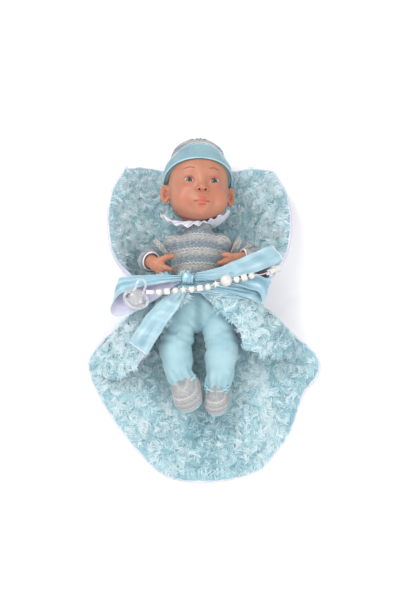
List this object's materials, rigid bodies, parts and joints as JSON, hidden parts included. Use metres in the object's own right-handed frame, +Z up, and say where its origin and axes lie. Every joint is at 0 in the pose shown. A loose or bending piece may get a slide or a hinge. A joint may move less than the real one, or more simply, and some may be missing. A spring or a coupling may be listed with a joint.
{
  "type": "baby doll",
  "caption": "Newborn baby doll with a sound module, in knitted clothes, lying in a plush wrap tied by a satin bow with a pacifier on a bead chain.",
  "frame": {"origin": "on the surface the wrap lies on, under the middle of the whole object's box", "axes": "+Y from the feet to the top of the head, +Z up out of the doll's belly, +X to the doll's own left"},
  "size_m": [0.347, 0.512, 0.122],
  "materials": {
    "skin": "soft matt vinyl with a blush",
    "body_vinyl": "plain vinyl",
    "eye": "glassy",
    "knit": "marled grey-blue and cream fine knit",
    "jersey": "plain light aqua jersey",
    "plush": "rosette plush, long pile",
    "satin": "light blue satin ribbon",
    "organza": "sheer lilac white organza",
    "clear_plastic": "clear moulded plastic",
    "bead": "white moulded plastic",
    "cord": "thin braided pink cord",
    "white_plastic": "white plastic",
    "black_plastic": "black plastic",
    "board": "green lacquered board",
    "steel": "bright steel"
  },
  "bodies": {
    "torso": {"torso_shell": "body_vinyl", "module_case": "white_plastic", "battery_cell_1": "steel", "battery_cell_2": "steel", "battery_door": "white_plastic", "battery_door_screw": "steel", "circuit_board": "board", "speaker": "black_plastic", "button_cup": "white_plastic", "button_spring": "steel", "sweater_body": "knit", "collar_ruffle": "organza", "pants_seat": "jersey", "blanket": "plush", "blanket_skirt": "plush", "blanket_flap_right": "plush", "blanket_flap_left": "plush", "ribbon_band": "satin", "ribbon_knot": "satin", "ribbon_loop_right": "satin", "ribbon_tail_right": "satin", "ribbon_loop_left": "satin", "ribbon_tail_left": "satin", "pacifier_shield": "clear_plastic", "pacifier_knob": "clear_plastic", "pacifier_teat": "clear_plastic", "chain_cord": "cord", "bead_heart_1": "bead", "bead_square_1": "bead", "bead_round_1": "bead", "bead_star_1": "bead", "bead_heart_2": "bead", "bead_square_2": "bead", "bead_round_2": "bead", "bead_star_2": "bead", "bead_large": "bead", "bead_heart_3": "bead", "bead_square_3": "bead", "bead_round_3": "bead", "chain_bar": "white_plastic", "clip_body": "white_plastic"},
    "head": {"head_shell": "skin", "eye_right": "eye", "eye_left": "eye", "neck_plug": "body_vinyl", "hat": "knit"},
    "arm_right": {"arm_right": "skin", "sleeve_right": "knit"},
    "arm_left": {"arm_left": "skin", "sleeve_left": "knit"},
    "leg_right": {"leg_right": "skin", "pant_leg_right": "jersey", "bootie_right": "knit"},
    "leg_left": {"leg_left": "skin", "pant_leg_left": "jersey", "bootie_left": "knit"},
    "button": {"belly_button": "white_plastic"},
    "switch": {"power_switch": "black_plastic"},
    "pacifier_ring": {"pacifier_ring": "clear_plastic"},
    "clip_lever": {"clip_lever": "white_plastic"}
  },
  "joints": [
    {"name": "head_turn", "type": "hinge", "parent": "torso", "child": "head", "pos_m": [-0.01, 0.112, 0.062], "axis": [0, 1, 0], "range_deg": [-45, 35]},
    {"name": "arm_right_swing", "type": "hinge", "parent": "torso", "child": "arm_right", "pos_m": [-0.055, 0.092, 0.052], "axis": [-1, 0, 0], "range_deg": [0, 80]},
    {"name": "arm_left_swing", "type": "hinge", "parent": "torso", "child": "arm_left", "pos_m": [0.035, 0.092, 0.052], "axis": [-1, 0, 0], "range_deg": [0, 80], "deforming": ["ribbon_tail_left"]},
    {"name": "leg_right_swing", "type": "hinge", "parent": "torso", "child": "leg_right", "pos_m": [-0.03, -0.006, 0.046], "axis": [-1, 0, 0], "range_deg": [0, 25], "deforming": ["blanket_flap_right", "ribbon_tail_right"]},
    {"name": "leg_left_swing", "type": "hinge", "parent": "torso", "child": "leg_left", "pos_m": [0.015, -0.006, 0.046], "axis": [-1, 0, 0], "range_deg": [0, 25], "deforming": ["blanket_flap_left"]},
    {"name": "belly_button_press", "type": "slide", "parent": "torso", "child": "button", "axis": [0, 0, -1], "range_m": [0, 0.0025], "stiffness_N_per_m": 600, "springref_m": -0.001, "deforming": ["button_spring"]},
    {"name": "power_switch_slide", "type": "slide", "parent": "torso", "child": "switch", "axis": [1, 0, 0], "range_m": [0, 0.004]},
    {"name": "pacifier_ring_flip", "type": "hinge", "parent": "torso", "child": "pacifier_ring", "pos_m": [-0.0985, -0.0064, 0.11336], "axis": [0.9347, -0.3343, -0.1209], "range_deg": [0, 150]},
    {"name": "clip_lever_open", "type": "hinge", "parent": "torso", "child": "clip_lever", "pos_m": [0.10211, 0.03868, 0.10396], "axis": [0.4608, -0.8776, -0.1325], "range_deg": [0, 17], "stiffness_Nm_per_rad": 0.02, "springref_deg": -11.46}
  ]
}
